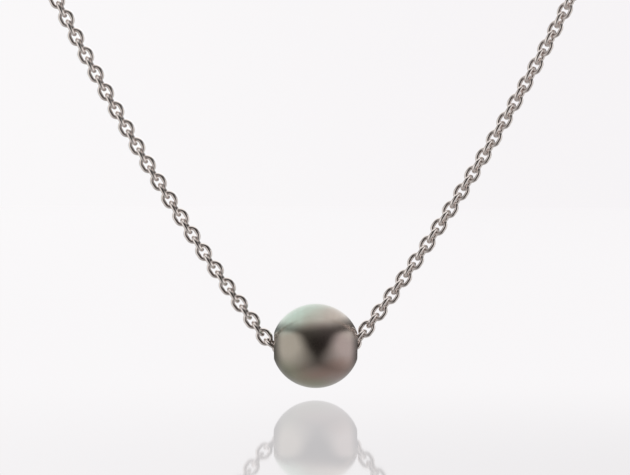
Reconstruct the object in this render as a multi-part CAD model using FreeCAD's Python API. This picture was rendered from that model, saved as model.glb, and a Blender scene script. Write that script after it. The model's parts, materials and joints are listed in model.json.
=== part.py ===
import FreeCAD, Part
import math
import os

from FreeCAD import Placement, Rotation, Vector

# A single-pearl necklace: a round cable chain threaded through one large-bored pearl and closed at
# the back of the neck by a spring-ring clasp. It is drawn as it hangs, in the upright plane Y = 0.
# The origin is the highest point of the round neck that the chain goes over. All sizes are in
# millimetres and degrees.

# ---- the pearl ----
pearl_height = 11.0          # diameter across the bore
pearl_length = 11.44         # diameter along the bore, before it is drilled
nucleus_diameter = 8.0       # shell bead that the nacre grew on
bore_diameter = 3.28
bore_lip_radius = 0.12       # eased edge at each mouth of the bore
pearl_shift = 0.445          # how far the pearl has slid to the right of the necklace's middle

# ---- the chain's links ----
link_wire = 0.51             # diameter of the round wire
link_end_space = 0.415       # length left inside a link by the two wires that pass through it
link_side_space = 0.46       # width left inside a link by one wire that passes through it
link_play = 0.08             # gap left where one link hangs in the next

# ---- the hang of the two strands ----
bore_floor_gap = 0.175       # from the level links in the bore down to its wall
bore_mouth_gap = 0.26        # from the bore's wall down to a link that crosses its mouth, at the least
strand_start_slope = 52.3    # slope of each strand there
run_slope_outer = 34.0       # slope of the first link of the run through the pearl, at each end
run_slope_inner = 14.0       # slope of the next link in
strand_sag = 78.5            # the catenary's constant: level pull over weight per length
left_turn = 9.0              # how far the left strand's links are turned from facing front
right_turn_low = -16.0       # the same for the right strand, beside the pearl
right_turn_high = -28.0      # and where right_turn_length of it has risen
right_turn_length = 50.0
fold_levels = 6              # places above the pearl's own where the strands fold
neck_nodes = 3               # lengths that the chain round the neck is kept in, on each side

# ---- the neck and the clasp ----
neck_radius = 54.2
rest_gap = 0.05              # gap between the neck and what lies on it
jump_ring_radius = 1.15      # centreline radii and wire diameters of the plain rings
jump_ring_wire = 0.5
tail_loop_radius = 0.78
tail_loop_wire = 0.44
end_ring_radius = 1.75
end_ring_wire = 0.6
clasp_radius = 2.35          # centreline radius of the clasp's curved tube
clasp_tube_outer = 0.62      # outer radius of that tube
clasp_tube_wall = 0.17
clasp_solder = 0.15          # depth of the tail loop in its solder on the tube
bolt_clearance = 0.06        # radial, between the bolt and the tube
gate_from = 20.0             # the clasp's gate, as angles round its centre from the right
gate_to = 72.0
bolt_socket = 6.0            # how far the closed bolt's tip enters the tube beyond the gate
bolt_tail = 105.0            # angle of the bolt's inner end when closed
bolt_travel = 60.0
tab_angle = 90.0             # angle of the bolt's thumb tab when closed
tab_width = 0.5
tab_height = 0.85            # how far the tab stands out of the tube
tab_play = 0.1               # gap between the tab and each side and end of its slot
spring_wire = 0.1
spring_turns = 9
spring_stop = 196.0          # angle where the spring ends
spring_gap = 0.04            # gap from the coil to the tube and to the bolt

link_inner_length = 2 * link_wire + link_end_space
link_inner_width = link_wire + link_side_space
pitch = link_inner_length - link_play
link_outer_width = link_inner_width + 2 * link_wire
link_half_wire = link_wire / 2
end_reach = (link_inner_length - pitch) / 2 + link_half_wire   # contact to the end wire's centreline
bore_radius = bore_diameter / 2
bore_mouth = pearl_length / 2 * math.sqrt(1 - (bore_diameter / pearl_height) ** 2)
clasp_height = end_ring_radius + end_ring_wire / 2 + rest_gap
chain_radius = neck_radius + link_outer_width / 2 + rest_gap


def clasp_layout():
    """Places along the clasp's line, counted from the left chain's last contact.

    Each ring hangs in the one before it with the links' own play, as on a clasp pulled straight.
    """
    x = {"left_contact": 0.0}
    jump_left = end_reach - (link_wire + jump_ring_wire) / 2 - link_play
    x["jump_ring"] = jump_left + jump_ring_radius
    jump_right = jump_left + 2 * jump_ring_radius
    loop_left = jump_right - (jump_ring_wire + tail_loop_wire) / 2 - link_play
    x["tail_loop"] = loop_left + tail_loop_radius
    loop_right = x["tail_loop"] + tail_loop_radius + tail_loop_wire / 2
    x["clasp"] = loop_right - clasp_solder + clasp_radius + clasp_tube_outer
    ring_left = x["clasp"] + clasp_radius - clasp_tube_outer - end_ring_wire / 2 - link_play
    x["end_ring"] = ring_left + end_ring_radius
    ring_right = ring_left + 2 * end_ring_radius
    x["right_contact"] = ring_right - (end_ring_wire + link_wire) / 2 - link_play + end_reach
    return x


layout = clasp_layout()
clasp_half = layout["right_contact"] / 2
clasp_x = {name: place - clasp_half for name, place in layout.items()}


def mirrored(points):
    return [Vector(-p.x, p.y, p.z) for p in points]


# ---- the run through the pearl: two links slope down at each end, and the rest lie level ----
def step_down(slope):
    return Vector(math.cos(math.radians(slope)), 0, -math.sin(math.radians(slope))) * pitch


outer_step = step_down(run_slope_outer)
inner_step = step_down(run_slope_inner)
level_height = link_outer_width / 2 + bore_floor_gap - bore_radius   # above the pearl's centre, as are these
mouth_height = bore_radius - link_outer_width / 2 - bore_mouth_gap
strand_start_height = level_height - outer_step.z - inner_step.z
nearest_start = bore_mouth + (strand_start_height - mouth_height) / math.tan(math.radians(run_slope_outer))
level_links = math.ceil(2 * (nearest_start - outer_step.x - inner_step.x) / pitch)
strand_start = level_links * pitch / 2 + outer_step.x + inner_step.x   # lowest contact, from the middle


# ---- the strand's line: catenary, then the neck's circle, then a straight lift to the clasp ----
start_v = math.asinh(math.tan(math.radians(strand_start_slope)))


def slope_at(u):
    return math.atan(math.sinh(start_v + (u - strand_start) / strand_sag))


def height_at(u):
    rise = math.cosh(start_v + (u - strand_start) / strand_sag) - math.cosh(start_v)
    return strand_start_height + strand_sag * rise


def solve(low, high, too_low):
    """The value between low and high where too_low turns from true to false."""
    for _ in range(60):
        middle = (low + high) / 2
        if too_low(middle):
            low = middle
        else:
            high = middle
    return (low + high) / 2


touch_u = solve(strand_start, chain_radius, lambda u: u < chain_radius * math.sin(slope_at(u)))
touch_slope = slope_at(touch_u)
pearl_z = -neck_radius - chain_radius * math.cos(touch_slope) - height_at(touch_u)
clasp_distance = math.hypot(clasp_half, neck_radius + clasp_height)
lift_slope = math.pi - math.atan2(clasp_half, neck_radius + clasp_height)
lift_slope = lift_slope - math.acos(chain_radius / clasp_distance)
catenary_length = strand_sag * (math.tan(touch_slope) - math.tan(math.radians(strand_start_slope)))
arc_length = chain_radius * (lift_slope - touch_slope)
lift_length = math.sqrt(clasp_distance ** 2 - chain_radius ** 2)
side_length = catenary_length + arc_length + lift_length


def strand_line(s):
    """Point of the right-hand strand at the length s along it from its lowest contact."""
    if s <= catenary_length:
        v = math.asinh(math.tan(math.radians(strand_start_slope)) + s / strand_sag)
        u = strand_start + strand_sag * (v - start_v)
        return Vector(u, 0, pearl_z + height_at(u))
    slope = touch_slope + min(s - catenary_length, arc_length) / chain_radius
    on_neck = Vector(chain_radius * math.sin(slope), 0, -neck_radius - chain_radius * math.cos(slope))
    beyond = max(0.0, s - catenary_length - arc_length)
    return on_neck + Vector(math.cos(slope), 0, math.sin(slope)) * beyond


run_steps = [outer_step, inner_step] + [Vector(pitch, 0, 0)] * level_links
run_steps += [Vector(step.x, 0, -step.z) for step in (inner_step, outer_step)]
run_contacts = [Vector(-strand_start, 0, pearl_z + strand_start_height)]
for run_step in run_steps:
    run_contacts.append(run_contacts[-1] + run_step)


def next_contact(line, s, chord):
    """Length along the line of the point one straight chord beyond the point at s."""
    t = s + chord
    for _ in range(12):
        t += chord - line(t).sub(line(s)).Length
    return t


def even_contacts(line, start, end):
    """Contacts from start to end, one more than the links between them, all one chord apart."""
    count = math.ceil((end - start) / pitch)

    def walk(chord):
        places = [start]
        for _ in range(count):
            places.append(next_contact(line, places[-1], chord))
        return places

    chord = solve(0.5 * pitch, pitch, lambda c: walk(c)[-1] < end)
    return [line(s) for s in walk(chord)]


links_per_fold = int((catenary_length / pitch - 1) / fold_levels)
strand_links = 1 + fold_levels * links_per_fold
strand_places = [0.0]
for _ in range(strand_links):
    strand_places.append(next_contact(strand_line, strand_places[-1], pitch))
strand_contacts = [strand_line(s) for s in strand_places]
neck_contacts = even_contacts(strand_line, strand_places[-1], side_length)


# ---- links ----
def make_link():
    """One closed link: two round ends and two straight sides, its length on X, its face on Z."""
    bend = (link_inner_width + link_wire) / 2
    half_side = (link_inner_length + link_wire) / 2 - bend
    pieces = []
    for way in (1, -1):
        section = Part.Circle(Vector(way * half_side, -way * bend, 0), Vector(1, 0, 0), link_half_wire)
        disc = Part.Face(Part.Wire([section.toShape()]))
        pieces.append(disc.revolve(Vector(way * half_side, 0, 0), Vector(0, 0, 1), 180))
        side_start = Vector(-half_side, way * bend, 0)
        pieces.append(Part.makeCylinder(link_half_wire, 2 * half_side, side_start, Vector(1, 0, 0)))
    return pieces[0].fuse(pieces[1:])


link_shape = make_link()


def place_link(low, high, turn):
    """The link from one contact to the next; a turn of 0 faces front, and 90 is edge on."""
    along = high.sub(low)
    along.normalize()
    angle = math.radians(turn)
    face = Vector(0, 1, 0) * math.cos(angle) + along.cross(Vector(0, 1, 0)) * math.sin(angle)
    turned = Rotation(along, face.cross(along), face, "XZY")
    link = link_shape.copy()
    link.Placement = Placement((low + high) * 0.5, turned)
    return link


def turns_between(first, last, count):
    """Turns of the links between two links, each as near a quarter turn from the last as it can be."""
    steps = count + 1
    halves = round((90.0 * steps - (last - first)) / 180.0)
    step = (last - first + 180.0 * halves) / steps
    return [first + step * (i + 1) for i in range(count)]


def left_strand_turn(number):
    return -left_turn + 90.0 * (number - 1)


def right_strand_turn(number):
    share = min(1.0, number * pitch / right_turn_length)
    return right_turn_low + (right_turn_high - right_turn_low) * share + 90.0 * number


def chain_links(contacts, turns):
    return [place_link(contacts[i], contacts[i + 1], turns[i]) for i in range(len(turns))]


def strand(side):
    """All the links of one strand from the pearl up, with their turns."""
    turn = left_strand_turn if side == "left" else right_strand_turn
    contacts = mirrored(strand_contacts) if side == "left" else strand_contacts
    return chain_links(contacts, [turn(i + 1) for i in range(strand_links)])


def neck_side(side):
    """The links round one side of the neck, turning evenly to lie edge on at the clasp."""
    turn = left_strand_turn if side == "left" else right_strand_turn
    contacts = mirrored(neck_contacts) if side == "left" else neck_contacts
    count = len(contacts) - 1
    turns = turns_between(turn(strand_links), 90.0, count - 1) + [90.0]
    return chain_links(contacts, turns)


def pearl_run():
    """The links inside the pearl and the first one outside it on each side."""
    count = len(run_contacts) - 1
    first = -left_strand_turn(1)
    turns = turns_between(first, right_strand_turn(1), count)
    return [strand("left")[0]] + chain_links(run_contacts, turns) + [strand("right")[0]]


# ---- the pearl ----
def make_pearl():
    """The nacre and its bead nucleus, both turned about the bore."""
    centre = Vector(pearl_shift, 0, pearl_z)
    left_end = centre - Vector(pearl_length / 2, 0, 0)
    right_end = centre + Vector(pearl_length / 2, 0, 0)
    if pearl_length > pearl_height:
        oval = Part.Ellipse(right_end, centre + Vector(0, 0, pearl_height / 2), centre)
    else:
        oval = Part.Ellipse(centre + Vector(0, 0, pearl_height / 2), right_end, centre)
    top = oval.parameter(centre + Vector(0, 0, pearl_height / 2))
    half = oval.toShape(top - math.pi / 2, top + math.pi / 2)
    outline = Part.Wire([half, Part.makeLine(left_end, right_end)])
    whole = Part.Face(outline).revolve(centre, Vector(1, 0, 0), 360)
    bead = Part.makeSphere(nucleus_diameter / 2, centre)
    drill = Part.makeCylinder(bore_radius, pearl_length, left_end, Vector(1, 0, 0))
    nacre = whole.cut(bead).cut(drill)
    lips = [edge for edge in nacre.Edges if is_lip(edge, centre)]
    nacre = nacre.makeFillet(bore_lip_radius, lips)
    return nacre, bead.cut(drill)


def is_lip(edge, centre):
    """True for the two round edges where the bore meets the outside of the pearl."""
    reach = abs(edge.BoundBox.Center.x - centre.x)
    flat = edge.BoundBox.XLength < 1e-3
    return flat and edge.BoundBox.ZLength > bore_radius and reach > nucleus_diameter / 2


# ---- the clasp ----
def around_clasp(angle, radius):
    a = math.radians(angle)
    centre = Vector(clasp_x["clasp"], 0, clasp_height)
    return centre + Vector(radius * math.cos(a), radius * math.sin(a), 0)


def clasp_arc(section_radius, start, end):
    """A round rod bent about the clasp's upright axis, from one angle to another."""
    along = Vector(-math.sin(math.radians(start)), math.cos(math.radians(start)), 0)
    section = Part.Circle(around_clasp(start, clasp_radius), along, section_radius)
    disc = Part.Face(Part.Wire([section.toShape()]))
    return disc.revolve(around_clasp(0, 0), Vector(0, 0, 1), end - start)


tube_bore = clasp_tube_outer - clasp_tube_wall
bolt_radius = tube_bore - bolt_clearance
tab_reach = clasp_radius + clasp_tube_outer + tab_height


def tab_block(width, start, end):
    """The thumb tab's straight block, or with more width and a sweep the slot that it slides in."""
    low = clasp_height - width / 2
    half_angle = math.degrees(width / 2 / clasp_radius)
    inner = Vector(clasp_x["clasp"] + clasp_radius, 0, low)
    section = Part.makePlane(tab_reach - clasp_radius, width, inner, Vector(0, -1, 0), Vector(1, 0, 0))
    block = section.revolve(around_clasp(0, 0), Vector(0, 0, 1), end - start + 2 * half_angle)
    block.rotate(around_clasp(0, 0), Vector(0, 0, 1), start - half_angle)
    return block


def make_clasp_tube():
    hollow = clasp_arc(tube_bore, gate_to - 1, gate_from + 361)
    tube = clasp_arc(clasp_tube_outer, gate_to, gate_from + 360).cut(hollow)
    return tube.cut(tab_block(tab_width + 2 * tab_play, tab_angle, tab_angle + bolt_travel))


def make_clasp_bolt():
    rod = clasp_arc(bolt_radius, gate_from - bolt_socket, bolt_tail)
    return rod.fuse(tab_block(tab_width, tab_angle, tab_angle))


def make_clasp_spring():
    """A compression coil bent round the tube, from the bolt's inner end to its stop."""
    coil = tube_bore - spring_gap - spring_wire / 2
    margin = math.degrees((spring_wire / 2 + spring_gap) / clasp_radius)
    start = bolt_tail + margin
    sweep = spring_stop - start
    points_per_turn = 12
    points = []
    for i in range(spring_turns * points_per_turn + 1):
        winding = 2 * math.pi * i / points_per_turn
        angle = start + sweep * i / (spring_turns * points_per_turn)
        out = around_clasp(angle, clasp_radius + coil * math.cos(winding))
        points.append(out + Vector(0, 0, coil * math.sin(winding)))
    line = Part.BSplineCurve()
    line.interpolate(points)
    first = line.tangent(line.FirstParameter)[0]
    section = Part.Circle(points[0], first, spring_wire / 2)
    return Part.Wire([line.toShape()]).makePipeShell([Part.Wire([section.toShape()])], True, True)


def plain_ring(place, normal, radius, wire):
    return Part.makeTorus(radius, wire / 2, Vector(clasp_x[place], 0, clasp_height), normal)


# ---- the nodes ----
def write_node(name, solids):
    shape = solids[0] if len(solids) == 1 else Part.makeCompound(solids)
    shape.exportStep("parts/" + name + ".step")
    print(name, len(solids), round(shape.Volume, 4), shape.isValid())


def write_strand(side):
    """Strand lengths, numbered from the neck down, each between two fold lines."""
    links = strand(side)[1:]
    for level in range(fold_levels):
        from_top = fold_levels - level
        write_node(side + "_strand_" + str(from_top), links[level * links_per_fold:][:links_per_fold])


def write_neck(side):
    """Lengths of the chain round the neck, numbered from the clasp down."""
    links = neck_side(side)
    share = math.ceil(len(links) / neck_nodes)
    for i in range(neck_nodes):
        write_node(side + "_neck_" + str(neck_nodes - i), links[i * share:][:share])


os.makedirs("parts", exist_ok=True)
for hand in ("left", "right"):
    write_strand(hand)
    write_neck(hand)
write_node("pearl_run", pearl_run())
nacre_shell, nucleus_bead = make_pearl()
write_node("pearl_nacre", [nacre_shell])
write_node("pearl_nucleus", [nucleus_bead])
write_node("clasp_tube", [make_clasp_tube()])
write_node("clasp_bolt", [make_clasp_bolt()])
write_node("clasp_spring", [make_clasp_spring()])
upright = Vector(0, 1, 0)
lying = Vector(0, 0, 1)
write_node("clasp_tail_loop", [plain_ring("tail_loop", lying, tail_loop_radius, tail_loop_wire)])
write_node("clasp_jump_ring", [plain_ring("jump_ring", upright, jump_ring_radius, jump_ring_wire)])
write_node("end_ring", [plain_ring("end_ring", upright, end_ring_radius, end_ring_wire)])
print("necklace length", round(2 * side_length + len(run_steps) * pitch + 2 * clasp_half, 1))
print("links", 2 * strand_links + 2 * (len(neck_contacts) - 1) + len(run_contacts) - 1)
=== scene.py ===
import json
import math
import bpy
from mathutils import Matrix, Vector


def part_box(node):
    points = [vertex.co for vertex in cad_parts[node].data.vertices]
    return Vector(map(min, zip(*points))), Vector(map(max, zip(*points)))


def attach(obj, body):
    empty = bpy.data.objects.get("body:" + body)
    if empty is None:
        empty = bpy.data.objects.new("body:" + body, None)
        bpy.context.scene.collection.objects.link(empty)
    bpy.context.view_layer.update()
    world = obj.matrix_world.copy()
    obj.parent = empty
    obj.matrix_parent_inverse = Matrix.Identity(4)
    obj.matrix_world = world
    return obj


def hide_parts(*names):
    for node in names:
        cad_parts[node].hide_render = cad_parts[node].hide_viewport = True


bl_info = {
    "name": "Pearl Necklace",
    "version": (1, 0, 0),
    "blender": (4, 5, 0),
    "location": "3D View > Sidebar > Necklace",
    "description": "A dark pearl on a round cable chain with a spring-ring clasp, and its white table",
    "category": "Object",
}

import bpy
import numpy as np
from bpy.props import FloatProperty, FloatVectorProperty, IntProperty, PointerProperty
from mathutils import Euler, Vector

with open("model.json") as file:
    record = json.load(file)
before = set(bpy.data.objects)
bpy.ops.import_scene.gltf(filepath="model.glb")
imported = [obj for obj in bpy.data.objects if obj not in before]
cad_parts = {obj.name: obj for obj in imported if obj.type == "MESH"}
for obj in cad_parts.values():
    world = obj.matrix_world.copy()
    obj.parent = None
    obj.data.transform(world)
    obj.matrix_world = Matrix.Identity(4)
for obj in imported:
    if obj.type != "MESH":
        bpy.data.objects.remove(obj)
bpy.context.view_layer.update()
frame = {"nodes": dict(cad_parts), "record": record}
MM = 0.001
CHAIN_NODES = [name for name in frame["nodes"]
               if "_strand_" in name or "_neck_" in name or name == "pearl_run"]
BODY_OF = {node: body for body, nodes in frame["record"]["behaviour"]["bodies"].items() for node in nodes}
PEARL_LOW, PEARL_HIGH = (np.array(corner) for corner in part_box("pearl_nacre"))
PEARL_CENTRE = (PEARL_LOW + PEARL_HIGH) / 2

LINK_STEPS = 12           # control points round a link
WIRE_STEPS = 6            # and round its wire
SEAM_PLACE = 0.25         # place of the solder seam round the link, from 0 to 1
SEAM_BULGE = 0.05         # how much thicker the wire is there, and over what share of the way round
SEAM_REACH = 0.05
WAVE_HEIGHT = 0.0009      # of the pearl's unevenness, as a share of its radius
TABLE_REACH = 6.0         # metres from the middle of the table to its edges


# ---------------------------------------------------------------- shader maths
class Value:
    """A socket in a node tree. Maths on values adds Math nodes; plain numbers may stand on either side."""

    def __init__(self, graph, socket):
        self.graph = graph
        self.socket = socket

    def math(self, operation, *others):
        return self.graph.node("ShaderNodeMath", {"operation": operation}, dict(enumerate((self, *others))))

    def __add__(self, other):
        return self.math("ADD", other)

    def __sub__(self, other):
        return self.math("SUBTRACT", other)

    def __rsub__(self, other):
        return (self * -1.0) + other

    def __mul__(self, other):
        return self.math("MULTIPLY", other)

    def __truediv__(self, other):
        return self.math("DIVIDE", other)

    def __abs__(self):
        return self.math("ABSOLUTE")

    __radd__ = __add__
    __rmul__ = __mul__

    def sqrt(self):
        return self.math("SQRT")

    def least(self, other):
        return self.math("MINIMUM", other)

    def most(self, other):
        return self.math("MAXIMUM", other)

    def smooth(self, start, end):
        """0 before start, 1 after end, and a smooth rise between; start may be the larger one."""
        settings = {"interpolation_type": "SMOOTHSTEP"}
        inputs = {"Value": self, "From Min": start, "From Max": end, "To Min": 0.0, "To Max": 1.0}
        if start > end:
            inputs.update({"From Min": end, "From Max": start, "To Min": 1.0, "To Max": 0.0})
        return self.graph.node("ShaderNodeMapRange", settings, inputs)


class Graph:
    """The nodes of one material or world."""

    def __init__(self, tree):
        self.tree = tree
        tree.nodes.clear()

    def node(self, kind, settings=None, inputs=None, output=0):
        """Adds a node: its settings are set first, then each input gets its value or its link.

        Returns the output of the given number, or the node itself where it has none.
        """
        made = self.tree.nodes.new(kind)
        for name, setting in (settings or {}).items():
            setattr(made, name, setting)
        for name, value in (inputs or {}).items():
            if isinstance(value, Value):
                self.tree.links.new(value.socket, made.inputs[name])
            else:
                made.inputs[name].default_value = value
        return Value(self, made.outputs[output]) if made.outputs else made

    def blend(self, factor, first, second):
        """Colour that goes from first to second as factor goes from 0 to 1."""
        named = {0: factor, 6: self.colour(first), 7: self.colour(second)}
        return self.node("ShaderNodeMix", {"data_type": "RGBA"}, named, output=2)

    @staticmethod
    def colour(value):
        return value if isinstance(value, Value) or len(value) == 4 else (*value, 1.0)

    def place(self):
        """Where a point is on its piece, in object coordinates."""
        return self.node("ShaderNodeTexCoord", output=3)

    def split(self, vector):
        """The three parts of a vector."""
        made = self.node("ShaderNodeSeparateXYZ", None, {0: vector}).socket.node
        return [Value(self, output) for output in made.outputs]

    def mapped(self, vector, location=(0, 0, 0), rotation=(0, 0, 0), scale=(1, 1, 1)):
        inputs = {"Vector": vector, "Location": location, "Rotation": rotation, "Scale": scale}
        return self.node("ShaderNodeMapping", {"vector_type": "POINT"}, inputs)

    def noise(self, vector, scale, detail=2.0, roughness=0.5):
        inputs = {"Vector": vector, "Scale": scale, "Detail": detail, "Roughness": roughness}
        return self.node("ShaderNodeTexNoise", None, inputs)

    def bump(self, height, strength, distance):
        inputs = {"Height": height, "Strength": strength, "Distance": distance}
        return self.node("ShaderNodeBump", None, inputs)

    def finish(self, **inputs):
        """Ends a material in one Principled shader; words in socket names are joined with _."""
        named = {name.replace("_", " "): value for name, value in inputs.items()}
        shader = self.node("ShaderNodeBsdfPrincipled", None, named)
        self.node("ShaderNodeOutputMaterial", None, {"Surface": shader})


def new_material(name):
    material = bpy.data.materials.new(name)
    material.use_nodes = True
    return material, Graph(material.node_tree)


def seam_and_wear(graph):
    """Masks on a link's own wire: its solder seam, and the worn inside of its two round ends.

    The map's first number runs once round the link from the middle of a round end, and its second once
    round the wire from the outside.
    """
    round_link, round_wire, _ = graph.split(graph.node("ShaderNodeUVMap", {"uv_map": "wire"}))
    seam = abs(round_link - SEAM_PLACE).smooth(0.012, 0.004)
    to_end = abs(round_link - 0.5).least(abs(abs(round_link - 0.5) - 0.5))
    inside = abs(round_wire - 0.5).smooth(0.24, 0.08)
    return seam, to_end.smooth(0.09, 0.03) * inside


def chain_metal(metal):
    """Rhodium-bright white metal: polished wire, a faint solder seam, wear where links rub."""
    material, graph = new_material("polished_chain_wire")
    place = graph.place()
    seam, worn = seam_and_wear(graph)
    wires = graph.node("ShaderNodeUVMap", {"uv_map": "wire"})
    drawn = graph.noise(graph.mapped(wires, scale=(6.0, 70.0, 1.0)), 1.0, 3.0)
    cloud = graph.noise(place, 900.0, 3.0)
    each = graph.node("ShaderNodeAttribute", {"attribute_name": "link_tone"}, output=2)
    tone = graph.blend((cloud - 0.5) * 0.7 + each * 0.6, metal.bright, metal.warm)
    tone = graph.blend(seam * 0.3 + worn * 0.35, tone, metal.worn)
    rough = cloud.smooth(0.35, 0.7) * 0.03 + worn * 0.12 + seam * 0.08 + metal.roughness
    height = drawn * 0.5 + seam * 0.8 + worn * cloud
    graph.finish(Base_Color=tone, Metallic=1.0, Roughness=rough, Normal=graph.bump(height, 0.12, 0.012 * MM))
    return material


def clasp_metal(metal):
    """The same metal, tumbled bright: fine random scratches and a softer polish on the clasp's parts."""
    material, graph = new_material("polished_clasp_metal")
    place = graph.place()
    cloud = graph.noise(place, 700.0, 3.0)
    turned = graph.mapped(place, rotation=(0.4, 0.9, 0.3), scale=(900.0, 9000.0, 4000.0))
    scratch = graph.noise(turned, 1.0, 2.0, 0.6).smooth(0.62, 0.75)
    tone = graph.blend(cloud.smooth(0.3, 0.75), metal.bright, metal.warm)
    tone = graph.blend(scratch * 0.25, tone, metal.worn)
    rough = cloud * 0.06 + scratch * 0.14 + metal.roughness
    cuts = graph.bump(scratch * -1.0, 0.1, 0.006 * MM)
    graph.finish(Base_Color=tone, Metallic=1.0, Roughness=rough, Normal=cuts)
    return material


def spring_steel(metal):
    """Drawn spring wire, greyer and duller than the polished parts."""
    material, graph = new_material("drawn_spring_wire")
    grain = graph.noise(graph.mapped(graph.place(), scale=(2500.0, 2500.0, 9000.0)), 1.0, 3.0)
    tone = graph.blend(grain, (0.42, 0.42, 0.43), (0.6, 0.6, 0.6))
    graph.finish(Base_Color=tone, Metallic=1.0, Roughness=grain * 0.15 + 0.25)
    return material


def nacre_material(pearl):
    """Dark nacre with soft lustre under a clear skin, and overtones that drift over the pearl.

    The place on the pearl is measured in its own radii from its centre: across to the right, away from
    the front, and up. Each overtone is a broad soft patch there, broken up by slow noise. The lighter
    patches at the top are a painted sheen where the reflection of the overhead light falls; the darker
    ones underneath and low on the front are painted shade.
    """
    material, graph = new_material("dark_nacre")
    radius = (PEARL_HIGH[2] - PEARL_LOW[2]) / 2
    centred = graph.mapped(graph.place(), location=tuple(-PEARL_CENTRE / radius), scale=(1 / radius,) * 3)
    across, depth, up = graph.split(centred)
    cloud = graph.noise(centred, 1.6, 3.0)
    sway = (cloud - 0.5) * 0.5
    tone = graph.blend((across + sway).smooth(-0.5, 0.7), pearl.smoke, pearl.rose)
    # painted sheen: the top left is lighter and mint, where the reflection of the overhead light falls
    painted_mint_sheen = (up - across * 0.45 + sway).smooth(0.45, 1.05)
    tone = graph.blend(painted_mint_sheen, tone, pearl.painted_mint_sheen)
    # painted sheen: the top right is lighter and rosy, where the same reflection falls
    painted_blush_sheen = (up * 0.9 + across * 0.35 + sway).smooth(0.4, 0.85) * (1.0 - painted_mint_sheen)
    tone = graph.blend(painted_blush_sheen * 0.9, tone, pearl.painted_blush_sheen)
    # painted shade: underneath, leaning left, where the table's reflection falls, the colour turns olive and
    # a little darker
    low = (up + across * 0.45 + sway * 0.6).smooth(-0.5, -0.95)
    tone = graph.blend(low * 0.9, tone, pearl.olive_painted_shade)
    # painted shade: a darker aubergine band low on the front
    painted_belt_shade = abs(up + 0.62 - across * 0.15 + sway).smooth(0.32, 0.0) * across.smooth(-0.75, 0.1)
    tone = graph.blend(painted_belt_shade * 0.75, tone, pearl.aubergine_painted_shade_and_rings)
    rings = graph.node("ShaderNodeTexWave", {"wave_type": "RINGS", "rings_direction": "X"},
                       {"Vector": centred, "Scale": 5.0, "Distortion": 3.0, "Detail": 2.0})
    tone = graph.blend(rings * 0.06, tone, pearl.aubergine_painted_shade_and_rings)
    from_axis = ((depth * depth) + (up * up)).sqrt()
    cut = from_axis.smooth(BORE_RADIUS / radius + 0.02, BORE_RADIUS / radius - 0.005)
    tone = graph.blend(cut * 0.6, tone, (0.36, 0.33, 0.3))
    grain = graph.noise(centred, 60.0, 4.0, 0.6)
    rough = cloud * 0.06 + grain * 0.03 + cut * 0.3 + pearl.roughness
    height = grain * 0.35 + graph.noise(centred, 9.0, 2.0)
    graph.finish(Base_Color=tone, Metallic=0.92 - cut * 0.7, Roughness=rough,
                 Coat_Weight=pearl.skin * (1.0 - cut), Coat_Roughness=0.03, Coat_IOR=1.55,
                 Normal=graph.bump(height, 0.1, 0.02 * MM))
    return material


def bead_material():
    """The shell bead: pale mother-of-pearl with the flat growth bands of a clam's shell."""
    material, graph = new_material("shell_bead")
    bands = graph.node("ShaderNodeTexWave", {"wave_type": "BANDS", "bands_direction": "DIAGONAL"},
                       {"Vector": graph.place(), "Scale": 900.0, "Distortion": 2.0, "Detail": 3.0})
    tone = graph.blend(bands, (0.86, 0.83, 0.76), (0.74, 0.69, 0.6))
    graph.finish(Base_Color=tone, Roughness=bands * 0.1 + 0.35)
    return material


# ---------------------------------------------------------------- surfaces
def spline_through(points, axis):
    """Control points of a closed cubic spline that passes through the points along one axis of an array.

    Such a spline lies, at each control point, at 1/6 of the one before, 4/6 of it and 1/6 of the one
    after; that rule is solved for the control points. A Subdivision Surface has the same limit.
    """
    count = points.shape[axis]
    rule = (4 * np.eye(count) + np.eye(count, k=1) + np.eye(count, k=-1)) / 6
    rule[0, -1] = rule[-1, 0] = 1 / 6
    return np.moveaxis(np.tensordot(np.linalg.inv(rule), points, (1, axis)), 0, axis)


def link_net(length, width, wire):
    """Control net of one link, round the link and round the wire, centred at the origin.

    The wire's centreline is two half circles joined by two straights, walked at even steps of its
    length. Round each of its points the wire's circle goes out, up, in and down. The wire is a little
    thicker at the solder seam, halfway along one straight.
    """
    bend = (width - wire) / 2
    half_straight = (length - wire) / 2 - bend
    quarter = bend * math.pi / 2
    walked = np.arange(LINK_STEPS) / LINK_STEPS * 4 * (quarter + half_straight)
    corners = np.cumsum([0, quarter, 2 * half_straight, 2 * quarter, 2 * half_straight, quarter])
    angle = np.interp(walked, corners, np.pi * np.array([0, 0.5, 0.5, 1.5, 1.5, 2]))
    shift = np.interp(walked, corners, half_straight * np.array([1, 1, -1, -1, 1, 1]))
    out = np.stack([np.cos(angle), np.sin(angle), 0 * angle], -1)
    line = bend * out + shift[:, None] * np.array([1.0, 0, 0])
    seam = 1 + SEAM_BULGE * np.exp(-((walked / walked[-1] - SEAM_PLACE) / SEAM_REACH) ** 2)
    around = np.arange(WIRE_STEPS) / WIRE_STEPS * 2 * np.pi
    up = np.array([0, 0, 1.0])
    ring = np.cos(around)[None, :, None] * out[:, None] + np.sin(around)[None, :, None] * up
    surface = line[:, None] + wire / 2 * seam[:, None, None] * ring
    return spline_through(spline_through(surface, 0), 1)


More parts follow.
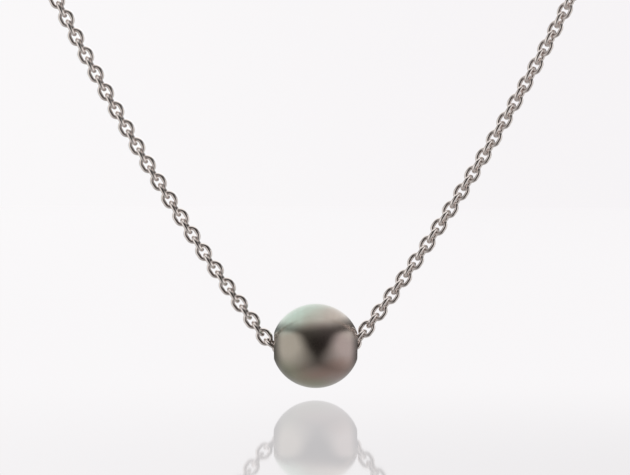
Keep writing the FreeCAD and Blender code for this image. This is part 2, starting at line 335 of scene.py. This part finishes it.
def solids_in(mesh):
    """Vertices and triangles of a mesh, and the number of the separate solid that each triangle is in.

    Vertices at one place count as one. Each takes the lowest number that any triangle joins it to,
    and this is repeated until the numbers agree across every triangle.
    """
    corners = np.empty(len(mesh.vertices) * 3)
    mesh.vertices.foreach_get("co", corners)
    corners = corners.reshape(-1, 3)
    triangles = np.empty(len(mesh.loops), int)
    mesh.loops.foreach_get("vertex_index", triangles)
    _, place = np.unique(np.round(corners / (0.001 * MM)).astype(int), axis=0, return_inverse=True)
    joined = place.reshape(-1)[triangles].reshape(-1, 3)
    first, second = joined.ravel(), np.roll(joined, 1, 1).ravel()
    number = np.arange(place.max() + 1)
    while (number[first] != number[second]).any():
        lowest = np.minimum(number[first], number[second])
        np.minimum.at(number, number[first], lowest)
        np.minimum.at(number, number[second], lowest)
        number = number[number]
    solid = np.unique(number[joined[:, 0]], return_inverse=True)[1].reshape(-1)
    return corners, triangles.reshape(-1, 3), solid


def link_places(mesh):
    """Centre and axes of every link in a CAD node, and the links' length, width and wire.

    A link's surface spreads most along its length, less across its width and least through its wire,
    so the axes are those of the spread of its triangles, weighed by their area.
    """
    corners, triangles, link = solids_in(mesh)
    count = link.max() + 1
    one, two, three = (corners[triangles[:, k]] for k in range(3))
    area = np.linalg.norm(np.cross(two - one, three - one), axis=1)
    middle = (one + two + three) / 3
    share = np.bincount(link, area)
    centre = np.stack([np.bincount(link, area * middle[:, k]) for k in range(3)], -1) / share[:, None]
    off = middle - centre[link]
    spread = np.stack([np.bincount(link, area * off[:, j] * off[:, k])
                       for j in range(3) for k in range(3)], -1)
    _, axes = np.linalg.eigh(spread.reshape(count, 3, 3))
    along, wide = axes[:, :, 2], axes[:, :, 1]
    axes = np.stack([along, wide, np.cross(along, wide)], 1)
    off = one - centre[link]
    sizes = [2 * np.abs(np.einsum("tk,tk->t", off, axes[link, k])).max() for k in range(3)]
    return centre, axes, sizes


def closed_grid(count, rows, columns):
    """Faces of count grids in turn, each closed on itself along its rows and its columns."""
    i, j = np.meshgrid(np.arange(rows), np.arange(columns), indexing="ij")
    right, up = (i + 1) % rows, (j + 1) % columns
    one = np.stack([i * columns + j, right * columns + j, right * columns + up, i * columns + up], -1)
    return (one.reshape(1, -1, 4) + (np.arange(count) * rows * columns)[:, None, None]).reshape(-1, 4)


def make_piece(name, points, faces, material, body, nodes, levels=0):
    """A finished piece: its mesh, smooth shading, material, body, the CAD nodes it stands for."""
    mesh = bpy.data.meshes.new(name)
    mesh.from_pydata(points.reshape(-1, 3).tolist(), [], faces.tolist())
    mesh.validate()
    mesh.shade_smooth()
    mesh.materials.append(material)
    piece = bpy.data.objects.new(name, mesh)
    bpy.context.scene.collection.objects.link(piece)
    if levels:
        smoother = piece.modifiers.new("smooth", "SUBSURF")
        smoother.levels = smoother.render_levels = levels
    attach(piece, body)
    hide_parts(*nodes)
    return piece


def wire_map(mesh, count, rows, columns):
    """Gives each face corner its place round the link and round the wire, from 0 to 1."""
    i, j = np.meshgrid(np.arange(rows), np.arange(columns), indexing="ij")
    round_link = np.stack([i, i + 1, i + 1, i], -1) / rows
    round_wire = np.stack([j, j, j + 1, j + 1], -1) / columns
    corners = np.stack([round_link, round_wire], -1).reshape(1, -1, 2)
    layer = mesh.uv_layers.new(name="wire")
    layer.data.foreach_set("uv", np.tile(corners, (count, 1, 1)).ravel())


def chain_piece(node, material, levels):
    """All the links of one CAD chain node, each in its own place."""
    centre, axes, sizes = link_places(frame["nodes"][node].data)
    net = link_net(*sizes)
    count = len(centre)
    points = centre[:, None, None] + np.einsum("uvk,nkc->nuvc", net, axes)
    faces = closed_grid(count, LINK_STEPS, WIRE_STEPS)
    piece = make_piece(node + "_links", points, faces, material, BODY_OF[node], [node], levels)
    wire_map(piece.data, count, LINK_STEPS, WIRE_STEPS)
    tone = piece.data.attributes.new("link_tone", "FLOAT", "POINT")
    draws = np.random.default_rng(len(node) * 101 + count).random(count)
    tone.data.foreach_set("value", np.repeat(draws, LINK_STEPS * WIRE_STEPS))
    return piece


def revolved(profile, steps, waves=None):
    """Points of a closed profile (distance along X, distance from X) turned about the X axis.

    waves, where given, takes the place along the axis and the angle round it, and gives the share by
    which each point moves outwards.
    """
    turn = np.arange(steps) / steps * 2 * np.pi
    along = np.repeat(profile[:, :1], steps, 1)
    out = np.repeat(profile[:, 1:], steps, 1)
    if waves is not None:
        out = out * (1 + waves(along, turn[None, :]))
    return np.stack([along, out * np.sin(turn), out * np.cos(turn)], -1)


def pearl_sizes():
    """Half length before drilling, outer radius, bead radius and bore radius, from the CAD nodes.

    The bead is a ball with a hole, so its half length and radius give the bore's radius. Outside the
    bead the pearl is an ellipse turned about X, so each outer point gives its half length.
    """
    low, high = (np.array(corner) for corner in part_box("pearl_nucleus"))
    bead = (high[2] - low[2]) / 2
    bore = math.sqrt(bead ** 2 - ((high[0] - low[0]) / 2) ** 2)
    outer = (PEARL_HIGH[2] - PEARL_LOW[2]) / 2
    mesh = frame["nodes"]["pearl_nacre"].data
    corners = np.empty(len(mesh.vertices) * 3)
    mesh.vertices.foreach_get("co", corners)
    off = corners.reshape(-1, 3) - PEARL_CENTRE
    from_axis = np.hypot(off[:, 1], off[:, 2])
    outside = np.linalg.norm(off, axis=1) > (bead + outer) / 2
    shown = outside & (from_axis > 2 * bore) & (from_axis < 0.9 * outer)
    half_length = np.median(np.abs(off[shown, 0]) / np.sqrt(1 - (from_axis[shown] / outer) ** 2))
    return half_length, outer, bead, bore


HALF_LENGTH, OUTER_RADIUS, BEAD_RADIUS, BORE_RADIUS = pearl_sizes()


def arc(centre, radius, start, end, count):
    """Points along a circle's arc, in degrees from the first axis."""
    angle = np.radians(np.linspace(start, end, count))
    return np.stack([centre[0] + radius * np.cos(angle), centre[1] + radius * np.sin(angle)], -1)


def nacre_profile(lip):
    """Half section of the nacre: outside ellipse, eased lips, bore wall and the bead's hollow."""
    edge = BORE_RADIUS + lip
    start = math.asin(edge / OUTER_RADIUS)
    turn = np.linspace(start, math.pi - start, 150)
    outside = np.stack([-HALF_LENGTH * np.cos(turn), OUTER_RADIUS * np.sin(turn)], -1)
    mouth = HALF_LENGTH * math.cos(start)
    right_lip = arc((mouth - lip, edge), lip, 0, -90, 7)
    in_bead = math.sqrt(BEAD_RADIUS ** 2 - BORE_RADIUS ** 2)
    wall = np.stack([np.linspace(mouth - lip, in_bead, 8), np.full(8, BORE_RADIUS)], -1)
    open_angle = math.degrees(math.asin(BORE_RADIUS / BEAD_RADIUS))
    hollow = arc((0, 0), BEAD_RADIUS, open_angle, 180 - open_angle, 40)
    mirror = np.array([-1, 1])
    left = np.concatenate([right_lip[1:], wall[1:-1]])[::-1] * mirror
    return np.concatenate([outside, right_lip[1:], wall[1:-1], hollow, left])


def slow_waves(along, turn):
    """The pearl's slight unevenness: a few slow waves along it and round it, a few microns high."""
    at = along / HALF_LENGTH
    swell = np.sin(2.1 * at + 0.8) * np.cos(2 * turn + 0.5) + 0.7 * np.cos(4.3 * at) * np.sin(3 * turn + 1.9)
    return WAVE_HEIGHT * swell * (1 - at ** 2)


def bead_profile():
    """Half section of the bead: its ball and the wall of the bore through it."""
    open_angle = math.degrees(math.asin(BORE_RADIUS / BEAD_RADIUS))
    ball = arc((0, 0), BEAD_RADIUS, 180 - open_angle, open_angle, 40)
    wall = np.stack([np.linspace(ball[-1, 0], ball[0, 0], 12), np.full(12, BORE_RADIUS)], -1)
    return np.concatenate([ball, wall[1:-1]])


def torus_net(centre, normal_axis, radius, wire, rows=16, columns=8):
    """Control net of a plain ring about X, Y or Z: a circle carried round a circle."""
    turn = np.arange(rows) / rows * 2 * np.pi
    around = np.arange(columns) / columns * 2 * np.pi
    flat = [axis for axis in range(3) if axis != normal_axis]
    out = np.zeros((rows, 3))
    out[:, flat[0]], out[:, flat[1]] = np.cos(turn), np.sin(turn)
    up = np.zeros(3)
    up[normal_axis] = -1.0 if normal_axis == 1 else 1.0
    ring = np.cos(around)[None, :, None] * out[:, None] + np.sin(around)[None, :, None] * up
    surface = np.array(centre) + radius * out[:, None] + wire / 2 * ring
    return spline_through(spline_through(surface, 0), 1)


# ---------------------------------------------------------------- settings
class NecklaceMetal(bpy.types.PropertyGroup):
    """Colours and polish of the white metal."""

    bright: FloatVectorProperty(name="Bright metal", description="Colour of freshly polished wire",
                                subtype="COLOR", default=(0.84, 0.78, 0.755))
    warm: FloatVectorProperty(name="Warm metal", description="Colour that the wire drifts to",
                              subtype="COLOR", default=(0.76, 0.685, 0.66))
    worn: FloatVectorProperty(name="Worn metal", description="Colour at seams and where links rub",
                              subtype="COLOR", default=(0.5, 0.44, 0.415))
    roughness: FloatProperty(name="Roughness", description="Roughness of the brightest polish",
                             subtype="FACTOR", min=0.0, max=1.0, default=0.045)
    levels: IntProperty(name="Smoothing", description="Subdivision levels of links and rings",
                        min=1, max=3, default=2)


class NecklacePearl(bpy.types.PropertyGroup):
    """Colours and lustre of the pearl."""

    smoke: FloatVectorProperty(name="Smoke", description="Body colour on the left", subtype="COLOR",
                               default=(0.36, 0.325, 0.27))
    rose: FloatVectorProperty(name="Rose", description="Body colour on the right", subtype="COLOR",
                              default=(0.375, 0.3, 0.285))
    # painted sheen: a lighter overtone colour at the top left, where the reflection of the overhead light
    # falls
    painted_mint_sheen: FloatVectorProperty(name="Mint", description="Overtone at the top left", subtype="COLOR",
                              default=(0.49, 0.63, 0.55))
    # painted sheen: a lighter overtone colour at the top right
    painted_blush_sheen: FloatVectorProperty(name="Blush", description="Overtone at the top right", subtype="COLOR",
                               default=(0.52, 0.46, 0.405))
    # painted shade: a darker overtone colour underneath
    olive_painted_shade: FloatVectorProperty(name="Olive", description="Overtone underneath", subtype="COLOR",
                               default=(0.3, 0.31, 0.215))
    # painted shade: a darker overtone colour low on the front; the growth rings take it faintly too
    aubergine_painted_shade_and_rings: FloatVectorProperty(name="Aubergine", description="Overtone low on the front",
                                   subtype="COLOR", default=(0.33, 0.215, 0.18))
    roughness: FloatProperty(name="Lustre", description="Roughness of the nacre under its skin",
                             subtype="FACTOR", min=0.0, max=1.0, default=0.16)
    skin: FloatProperty(name="Skin", description="Weight of the clear outer skin", subtype="FACTOR",
                        min=0.0, max=1.0, default=0.8)
    lip: FloatProperty(name="Lip", description="Radius of the eased edge at the bore", subtype="DISTANCE",
                       unit="LENGTH", default=0.12 * MM)


class NecklaceStage(bpy.types.PropertyGroup):
    """The camera, the table and the light."""

    view_width: FloatProperty(name="View width", description="Width that the picture takes in at the pearl",
                              unit="LENGTH", default=81.9 * MM)
    view_right: FloatProperty(name="View right", description="Picture's centre, right of the pearl's",
                              unit="LENGTH", default=-0.13 * MM)
    view_up: FloatProperty(name="View up", description="Picture's centre, above the pearl's",
                           unit="LENGTH", default=14.09 * MM)
    distance: FloatProperty(name="Distance", description="From the camera to the necklace", unit="LENGTH",
                            default=0.6)
    elevation: FloatProperty(name="Elevation", description="Camera's height angle", subtype="ANGLE",
                             default=math.radians(0.6))
    roll: FloatProperty(name="Roll", description="Camera's turn about its own view", subtype="ANGLE",
                        default=math.radians(0.16))
    floor_gap: FloatProperty(name="Floor gap", description="From the pearl down to the table", unit="LENGTH",
                             default=0.79 * MM)
    gloss: FloatProperty(name="Table gloss", description="Share of light that the table mirrors",
                         subtype="FACTOR", min=0.0, max=1.0, default=0.37)
    backdrop: FloatVectorProperty(name="Backdrop", description="Colour behind the necklace", subtype="COLOR",
                                  default=(0.955, 0.94, 0.948))
    shade: FloatVectorProperty(name="Shaded backdrop", description="The same, away from the light",
                               subtype="COLOR", default=(0.925, 0.905, 0.92))


# ---------------------------------------------------------------- operators
class NECKLACE_OT_chain(bpy.types.Operator):
    """Makes the links of every length of the chain"""

    bl_idname = "necklace.chain"
    bl_label = "Cable chain"

    def execute(self, context):
        metal = context.scene.necklace_metal
        material = chain_metal(metal)
        for node in CHAIN_NODES:
            chain_piece(node, material, metal.levels)
        return {"FINISHED"}


class NECKLACE_OT_pearl(bpy.types.Operator):
    """Makes the pearl's nacre and the shell bead inside it"""

    bl_idname = "necklace.pearl"
    bl_label = "Pearl"

    def execute(self, context):
        pearl = context.scene.necklace_pearl
        for name, node, slot, profile, steps, waves, material in (
                ("nacre", "pearl_nacre", "nacre", nacre_profile(pearl.lip), 200, slow_waves,
                 nacre_material(pearl)),
                ("bead", "pearl_nucleus", "shell_bead", bead_profile(), 96, None, bead_material())):
            points = PEARL_CENTRE + revolved(profile, steps, waves)
            faces = closed_grid(1, len(profile), steps)
            make_piece(name, points, faces, material, BODY_OF[node], [node])
        return {"FINISHED"}


class NECKLACE_OT_clasp(bpy.types.Operator):
    """Makes the clasp's rings and finishes its tube, bolt and spring"""

    bl_idname = "necklace.clasp"
    bl_label = "Spring-ring clasp"

    def execute(self, context):
        metal = context.scene.necklace_metal
        polished = clasp_metal(metal)
        for node in ("clasp_jump_ring", "clasp_tail_loop", "end_ring"):
            low, high = (np.array(corner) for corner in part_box(node))
            size = high - low
            normal = int(np.argmin(size))
            wire = size[normal]
            net = torus_net((low + high) / 2, normal, (size.max() - wire) / 2, wire)
            faces = closed_grid(1, *net.shape[:2])
            make_piece(node + "_wire", net, faces, polished, BODY_OF[node], [node],
                       metal.levels)
        for node in ("clasp_tube", "clasp_bolt"):
            self.repaint(node, polished)
        self.repaint("clasp_spring", spring_steel(metal))
        return {"FINISHED"}

    @staticmethod
    def repaint(node, material):
        """Puts the material on the slots of a CAD piece."""
        for slot in frame["nodes"][node].material_slots:
            slot.material = material


class NECKLACE_OT_stage(bpy.types.Operator):
    """Makes the glossy white table, the studio light and the camera"""

    bl_idname = "necklace.stage"
    bl_label = "Table, light and camera"

    def execute(self, context):
        stage = context.scene.necklace_stage
        self.floor(context, stage)
        self.light(context, stage)
        self.camera(context, stage)
        context.scene.view_settings.view_transform = "Standard"
        return {"FINISHED"}

    @staticmethod
    def floor(context, stage):
        """A level white sheet under the pearl that mirrors part of the light; the rest is a painted glow,
        with painted shade towards the right that deepens to one corner.
        """
        height = float(PEARL_LOW[2]) - stage.floor_gap
        corners = [(x * TABLE_REACH, y * TABLE_REACH, height)
                   for x, y in ((-1, -1), (1, -1), (1, 1), (-1, 1))]
        mesh = bpy.data.meshes.new("table")
        mesh.from_pydata(corners, [], [(0, 1, 2, 3)])
        material, graph = new_material("white_gloss_table")
        across, away, _ = graph.split(graph.place())
        # painted shade: the table darkens towards the right, and further towards the front on the right
        corner = away.smooth(0.05, -0.19) * (across.smooth(-0.05, 0.035) * 0.65 + 0.35)
        tone = graph.blend(across.smooth(-0.25, 0.25), stage.backdrop, stage.shade)
        tone = graph.blend(corner, tone, tuple(0.86 * part for part in stage.shade))
        # painted glow: the table gives out its own pale light, so no shadow falls on it
        pale = graph.node("ShaderNodeEmission", None, {"Color": tone, "Strength": 1.0})
        gloss = graph.node("ShaderNodeBsdfGlossy", None,
                           {"Color": (1.0, 1.0, 1.0, 1.0), "Roughness": 0.025})
        both = graph.node("ShaderNodeMixShader", None, {0: stage.gloss, 1: pale, 2: gloss})
        graph.node("ShaderNodeOutputMaterial", None, {"Surface": both})
        mesh.materials.append(material)
        table = bpy.data.objects.new("table", mesh)
        table.visible_glossy = False
        context.scene.collection.objects.link(table)

    @staticmethod
    def light(context, stage):
        """A white surround with soft panels at both sides and above, and a dark room at the front.

        Directions are taken as a mirror ball shows them to a viewer at the front: across and up, from
        -1 to 1, where 0, 0 is the viewer.
        """
        world = bpy.data.worlds.new("studio")
        world.use_nodes = True
        context.scene.world = world
        graph = Graph(world.node_tree)
        x, y, z = graph.split(graph.node("ShaderNodeTexCoord", output=0))
        ball = (2.0 - y * 2.0).most(0.0001).sqrt()
        across, up = x / ball, z / ball
        side = abs(across - 0.045)
        rise, fall = up.most(0.0), (up * -1.0).most(0.0)
        # the panels' inner edges: they close to a point below, and part and soften on the way up
        inner = side - 0.115 - rise * 0.3 - rise * rise * rise * 1.2 + fall * 0.87
        inner = (inner / (fall * 1.4 + 0.39)).smooth(0.0, 1.0)
        panel = inner * (up - side * 0.06).smooth(0.4, 0.22)
        # they are dimmer lower down, at the rim and in the low corners
        falling = up.smooth(-0.8, 0.0) * 0.6 + 0.42
        rim = (side + across * 0.03).smooth(0.97, 0.72) * 0.85 + 0.15
        corner = 1.0 - (side * 1.3 - up * 0.7).smooth(1.1, 1.4) * 0.3
        right = 1.06 - across.smooth(0.2, 0.5) * 0.03 - across.smooth(0.7, 0.95) * 0.38
        panel = panel * falling * rim * right
        # the panel overhead, the light that the table throws up, and a faint haze on the dark room
        top = (up - across * 0.1 - side * side * 0.08).smooth(0.26, 1.02) * 2.3
        below = up.smooth(-0.2, -0.7) * 0.52 * rim
        haze = up.smooth(0.05, 0.55) * 0.14
        power = (panel.most(top).most(below) * corner).most(haze)
        # straight behind the necklace there is only the backdrop, which the camera sees all round
        behind = y.smooth(0.965, 0.99)
        lamp = graph.blend(power, (0.006, 0.003, 0.002), (1.0, 0.985, 0.965))
        lamp = graph.blend(behind, lamp, stage.backdrop)
        seen = graph.node("ShaderNodeLightPath")
        plain = graph.blend(x.smooth(-0.08, 0.08), stage.backdrop, stage.shade)
        shown = graph.blend(seen, lamp, plain)
        sky = graph.node("ShaderNodeBackground", None, {"Color": shown, "Strength": 1.0})
        graph.node("ShaderNodeOutputWorld", None, {"Surface": sky})

    @staticmethod
    def camera(context, stage):
        """A camera in front of the pearl, with no shift and no blur."""
        data = bpy.data.cameras.new("camera")
        data.sensor_width = 36.0
        data.lens = data.sensor_width * stage.distance / stage.view_width
        data.clip_start, data.clip_end = 0.01, 50.0
        camera = bpy.data.objects.new("camera", data)
        context.scene.collection.objects.link(camera)
        target = Vector(PEARL_CENTRE) + Vector((stage.view_right, 0, stage.view_up))
        back = Vector((0, -math.cos(stage.elevation), math.sin(stage.elevation)))
        camera.location = target + back * stage.distance
        facing = (-back).to_track_quat("-Z", "Y")
        camera.rotation_euler = (facing @ Euler((0, 0, stage.roll)).to_quaternion()).to_euler()
        context.scene.camera = camera


class NECKLACE_PT_panel(bpy.types.Panel):
    """Lists the steps that make the necklace"""

    bl_label = "Pearl Necklace"
    bl_idname = "NECKLACE_PT_panel"
    bl_space_type = "VIEW_3D"
    bl_region_type = "UI"
    bl_category = "Necklace"

    def draw(self, context):
        for step in STEPS:
            self.layout.operator(step.bl_idname)


STEPS = (NECKLACE_OT_chain, NECKLACE_OT_pearl, NECKLACE_OT_clasp, NECKLACE_OT_stage)
GROUPS = {"necklace_metal": NecklaceMetal, "necklace_pearl": NecklacePearl, "necklace_stage": NecklaceStage}


def register():
    for one in (*GROUPS.values(), *STEPS, NECKLACE_PT_panel):
        bpy.utils.register_class(one)
    for name, group in GROUPS.items():
        setattr(bpy.types.Scene, name, PointerProperty(type=group))


def unregister():
    for name in GROUPS:
        delattr(bpy.types.Scene, name)
    for one in reversed((*GROUPS.values(), *STEPS, NECKLACE_PT_panel)):
        bpy.utils.unregister_class(one)


def main():
    register()
    bpy.ops.necklace.chain()
    bpy.ops.necklace.pearl()
    bpy.ops.necklace.clasp()
    bpy.ops.necklace.stage()
    bpy.context.view_layer.update()


if __name__ == "__main__":
    main()
